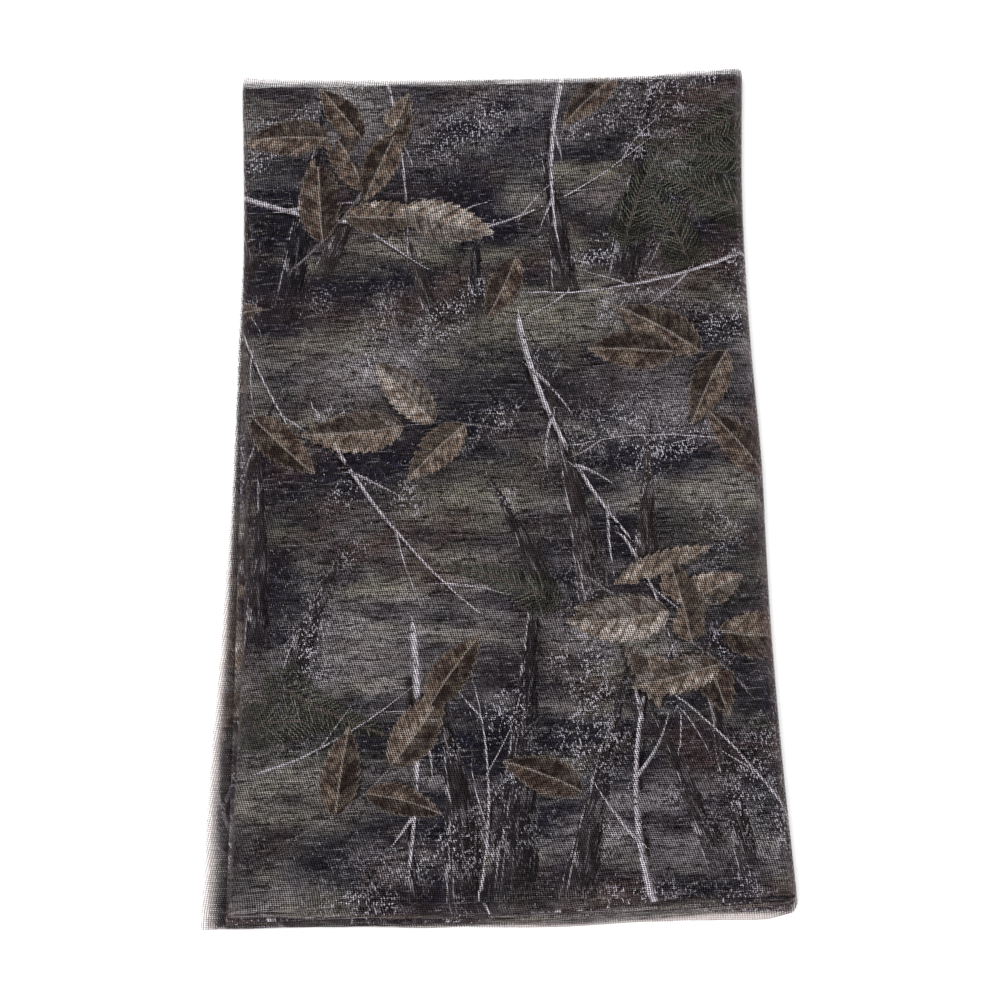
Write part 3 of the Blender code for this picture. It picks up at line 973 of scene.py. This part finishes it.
# Haze: level streaks, with dim gaps, a few pale ones, and thin dark and pale bents all over it
colour = stored("ground", "Vector")
colour = scaled(colour, maths("MULTIPLY_ADD", streak_a, 1.9, 0.05))
colour = mixed(product(rising(streak_b, 0.58, 0.70), 0.5), colour, HAZE_STREAK)
colour = darkened(colour, rising(streak_c, 0.55, 0.64), 0.7)
bent = rising(maths("ABSOLUTE", maths("SUBTRACT", blotch_b, 0.5)), 0.022, 0.008)
colour = darkened(colour, bent, 0.75)
bent = rising(maths("ABSOLUTE", maths("SUBTRACT", blotch_c, 0.54)), 0.010, 0.004)
colour = mixed(product(bent, rising(grain_a, 0.48, 0.58)), colour, PALE_BENT)

# Rushes: dark, ribbed blades, with a pale worn edge at one side and a shade at the other
ragged = maths("MULTIPLY_ADD", grain_a, 5.0, -2.5)
rush = Motif(
    "rush",
    lambda ahead, left, width: rising(
        maths("ADD", maths("SUBTRACT", width, maths("ABSOLUTE", left)), ragged), -0.4, 0.6
    ),
)
rib_a, rib_b, _ = speckle(rush.left, rush.ahead, 2.4, 22.0, 2.0)
outside = maths("SUBTRACT", maths("ABSOLUTE", rush.left), rush.size)
faint = rising(rush.ahead, 2.0, 45.0)
shade = product(rising(outside, 6.5, 0.0), rising(rush.left, 1.0, -1.0), faint)
colour = darkened(colour, shade, 0.6)
side = maths("DIVIDE", rush.left, maths("MAXIMUM", rush.size, 0.3))
blade = mixed(rush.tone, RUSH_DARK, RUSH_BROWN)
blade = scaled(blade, maths("MULTIPLY_ADD", rib_a, 2.4, -0.2))
blade = scaled(blade, either(rising(side, -0.9, 0.6), 0.6, 1.5))
edge_wear = maths("MULTIPLY_ADD", rising(side, 0.1, 0.85), 0.85, 0.22)
blade = mixed(product(rising(rib_b, 0.55, 0.63), edge_wear), blade, RUSH_WORN)
colour = mixed(product(rush.cover, faint), colour, blade)

# Pine sprays: needles on both sides of a thin twig
needle_length = maths("MULTIPLY_ADD", grain_c, 0.5, 0.7)
pine = Motif(
    "pine",
    lambda ahead, left, width: rising(
        maths("SUBTRACT", product(width, needle_length), maths("ABSOLUTE", left)), -0.5, 0.5
    ),
)
run = maths("SUBTRACT", pine.ahead, product(maths("ABSOLUTE", pine.left), 0.9))
run = maths("ADD", maths("DIVIDE", run, 4.2), product(blotch_b, 1.6))
one_needle = chance_for(maths("FLOOR", run))
needles = rising(maths("FRACT", run), 0.5, 0.3)
needles = product(needles, rising(maths("ADD", one_needle, grain_b), 0.4, 0.55))
twig = rising(maths("ABSOLUTE", pine.left), 1.5, 0.9)
needles = product(maths("MAXIMUM", needles, twig), pine.cover)
colour = darkened(colour, pine.cover, 0.6)
green = mixed(one_needle, NEEDLE_DARK, NEEDLE_LIGHT)
green = mixed(twig, green, PINE_TWIG)
colour = mixed(needles, colour, green)

# Frosty flecks
frost = maths("ADD", product(grain_c, 0.62), product(blotch_c, 0.38))
frost = product(rising(frost, 0.552, 0.60), stored("flecked", "Fac"))
frost = product(frost, maths("MULTIPLY_ADD", pine.cover, -0.7, 1.0))
colour = mixed(frost, colour, FROST)

# Grass stems: pale where the light falls, dark below, and broken here and there
stem = Motif(
    "stem",
    lambda ahead, left, width: rising(maths("SUBTRACT", width, maths("ABSOLUTE", left)), -0.25, 0.35),
)
side = maths("DIVIDE", stem.left, maths("MAXIMUM", stem.size, 0.3))
shade = product(rising(side, -3.6, -1.4), rising(side, 0.2, -0.6))
colour = darkened(colour, shade, 0.85)
lit = product(rising(side, -1.0, 0.1), rising(maths("ADD", grain_b, blotch_a), 0.66, 0.9))
stalk = mixed(product(lit, stem.tone), STALK_DARK, STALK_LIT)
colour = mixed(stem.cover, colour, stalk)


# Beech leaves: toothed, ribbed, mottled from rust to tan, and lit from one side, with a shade around
def leaf_edge(share, side):
    """How far inside its outline a place on a leaf lies, in half widths."""
    swell = maths("SINE", product(maths("POWER", maths("MAXIMUM", share, 0.0), 0.8), math.pi))
    half = maths("POWER", maths("MAXIMUM", swell, 0.0), 0.75)
    teeth = maths("MULTIPLY_ADD", maths("FRACT", product(share, 11.0)), 0.16, -0.1)
    on_leaf = product(maths("GREATER_THAN", share, 0.0), maths("LESS_THAN", share, 1.0))
    inside = maths("ADD", maths("SUBTRACT", half, maths("ABSOLUTE", side)), teeth)
    return maths("SUBTRACT", inside, product(maths("SUBTRACT", 1.0, on_leaf), 2.0))


leaf = Motif("leaf", lambda share, side, length: rising(leaf_edge(share, side), -0.03, 0.05))
inside = leaf_edge(leaf.ahead, leaf.left)
from_rib = maths("ABSOLUTE", leaf.left)
vein = maths("SUBTRACT", product(leaf.ahead, 8.0), product(from_rib, 1.5))
vein = maths("FRACT", vein)
tone = maths("ADD", leaf.tone, maths("MULTIPLY_ADD", blotch_a, 2.2, -1.1))
flesh = mixed(rising(tone, -0.1, 0.7), LEAF_RUST, LEAF_TAN)
flesh = mixed(rising(tone, 0.6, 1.2), flesh, LEAF_PALE)
flesh = scaled(flesh, either(rising(leaf.left, -0.12, 0.12), 0.5, 1.12))
flesh = darkened(flesh, rising(vein, 0.30, 0.14), 0.5)
flesh = scaled(flesh, maths("MULTIPLY_ADD", grain_a, 1.6, 0.2))
flesh = mixed(product(rising(inside, 0.16, 0.02), 0.35), flesh, LEAF_RIM)
flesh = mixed(product(rising(from_rib, 0.08, 0.035), 0.5), flesh, LEAF_RIB)
colour = darkened(colour, rising(inside, -0.32, -0.03), 0.75)
colour = mixed(leaf.cover, colour, flesh)

# The yarns: a square knit of single threads, some fuller than others. The wales end in a comb at a
# selvage, and the courses at a cut.
knit_place = added("ShaderNodeUVMap", {}, uv_map="knit").outputs[0]
pitches = (1000.0 / WALE_PITCH, 1000.0 / COURSE_PITCH, 1.0)
knit_place = added("ShaderNodeVectorMath", {0: knit_place, 1: pitches}, operation="MULTIPLY").outputs[0]
loop = added("ShaderNodeVectorMath", {0: knit_place}, operation="FLOOR").outputs[0]
in_loop = added("ShaderNodeVectorMath", {0: knit_place}, operation="FRACTION").outputs[0]
loop_x, loop_y, _ = parts(loop)
in_x, in_y, _ = parts(in_loop)
chance_here = added("ShaderNodeTexWhiteNoise", {"Vector": loop}, noise_dimensions="2D").outputs[1]
fuller_a, fuller_b, fuller_c = channels(chance_here)
wale_chance, course_chance = chance_for(loop_x), chance_for(loop_y)
to_cut_here, to_selvage_here, _ = parts(stored("from_edge", "Vector"))
wale_here = maths(
    "MULTIPLY",
    maths("GREATER_THAN", to_cut_here, product(fuller_a, FRAYED)),
    maths("GREATER_THAN", to_selvage_here, product(wale_chance, 0.5 * FRAYED)),
)
course_here = maths(
    "MULTIPLY",
    maths("GREATER_THAN", to_selvage_here, product(fuller_b, FRAYED)),
    maths("GREATER_THAN", to_cut_here, product(course_chance, 0.5 * FRAYED)),
)
wale_gap = maths("MULTIPLY_ADD", fuller_c, -0.3 * WALE_WIDTH, 0.5 - 0.35 * WALE_WIDTH)
course_gap = maths("MULTIPLY_ADD", fuller_a, -0.3 * COURSE_WIDTH, 0.5 - 0.35 * COURSE_WIDTH)
off_x = maths("DIVIDE", maths("ABSOLUTE", maths("SUBTRACT", in_x, 0.5)), wale_gap)
off_y = maths("DIVIDE", maths("ABSOLUTE", maths("SUBTRACT", in_y, 0.5)), course_gap)
near_wale = product(off_x, off_x, off_x, wale_here)
near_course = product(off_y, off_y, off_y, course_here)
closeness = maths("ADD", near_wale, near_course)
yarn = maths("GREATER_THAN", closeness, 1.0)

colour = scaled(colour, maths("MULTIPLY_ADD", fuller_b, 0.8, 0.6))
behind = added("ShaderNodeNewGeometry", {}).outputs["Backfacing"]
colour = mixed(product(behind, BACK_SHOWS), colour, CLOTH_BACK)
# Painted light: the lowest layer's yarns are paled where it lies alone on the pale table.
colour = mixed(product(stored("lit_from_table", "Fac"), TABLE_LIGHT_SHARE), colour, TABLE_LIGHT_TINT)
# Painted shade: what lies inside the pack is darkened, both its dye and the light through its yarns.
painted_daylight = maths("MULTIPLY_ADD", stored("shaded", "Fac"), -SHADE_INSIDE, 1.0)
light_through = scaled(mixed(0.75, colour, GLOW), painted_daylight)
colour = scaled(colour, painted_daylight)

threads.inputs["Roughness"].default_value = 0.85
threads.inputs["Specular IOR Level"].default_value = 0.06
net_nodes.links.new(colour, threads.inputs["Base Color"])
round_yarn = added("ShaderNodeBump", {"Height": closeness, "Distance": 0.0002, "Strength": 0.4})
net_nodes.links.new(round_yarn.outputs[0], threads.inputs["Normal"])
glow = added("ShaderNodeBsdfTranslucent", {"Color": light_through}).outputs[0]
dyed = added("ShaderNodeMixShader", {0: THROUGH_YARN, 1: threads.outputs[0], 2: glow}).outputs[0]
hole = added("ShaderNodeBsdfTransparent", {}).outputs[0]
netting = added("ShaderNodeMixShader", {0: yarn, 1: hole, 2: dyed}).outputs[0]
net_nodes.links.new(netting, net_nodes.nodes["Material Output"].inputs["Surface"])
mesh.materials.append(net_paint)
